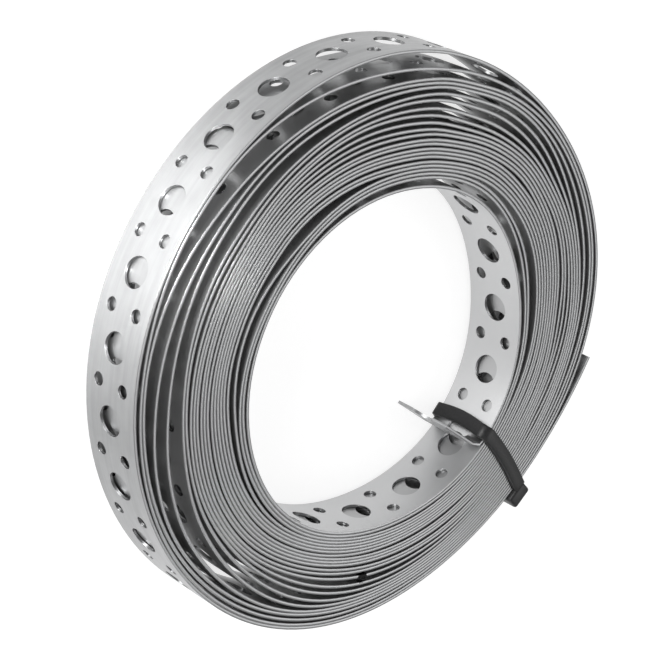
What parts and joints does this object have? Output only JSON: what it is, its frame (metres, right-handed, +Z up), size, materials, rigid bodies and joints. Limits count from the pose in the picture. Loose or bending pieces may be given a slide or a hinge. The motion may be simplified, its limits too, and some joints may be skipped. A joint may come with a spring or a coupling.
{
  "type": "perforated steel strap roll",
  "caption": "Roll of galvanised perforated steel strap held by a cable tie, with the outer end springing off the rim and the inner end bent into the eye.",
  "frame": {"origin": "centre of the bounding box at the bottom, under the middle of the roll", "axes": "+Z up along the axis of the roll, which lies on its back end; +X to the side where the outer end springs off; +Y across, with the cable tie at -Y"},
  "size_m": [0.1434, 0.1412, 0.0195],
  "materials": {
    "strap_steel": "bright galvanised steel, satin, with darker sheared edges",
    "tie_nylon": "black nylon, satin"
  },
  "bodies": {
    "root": {"strap": "strap_steel", "cable_tie": "tie_nylon"}
  },
  "joints": []
}
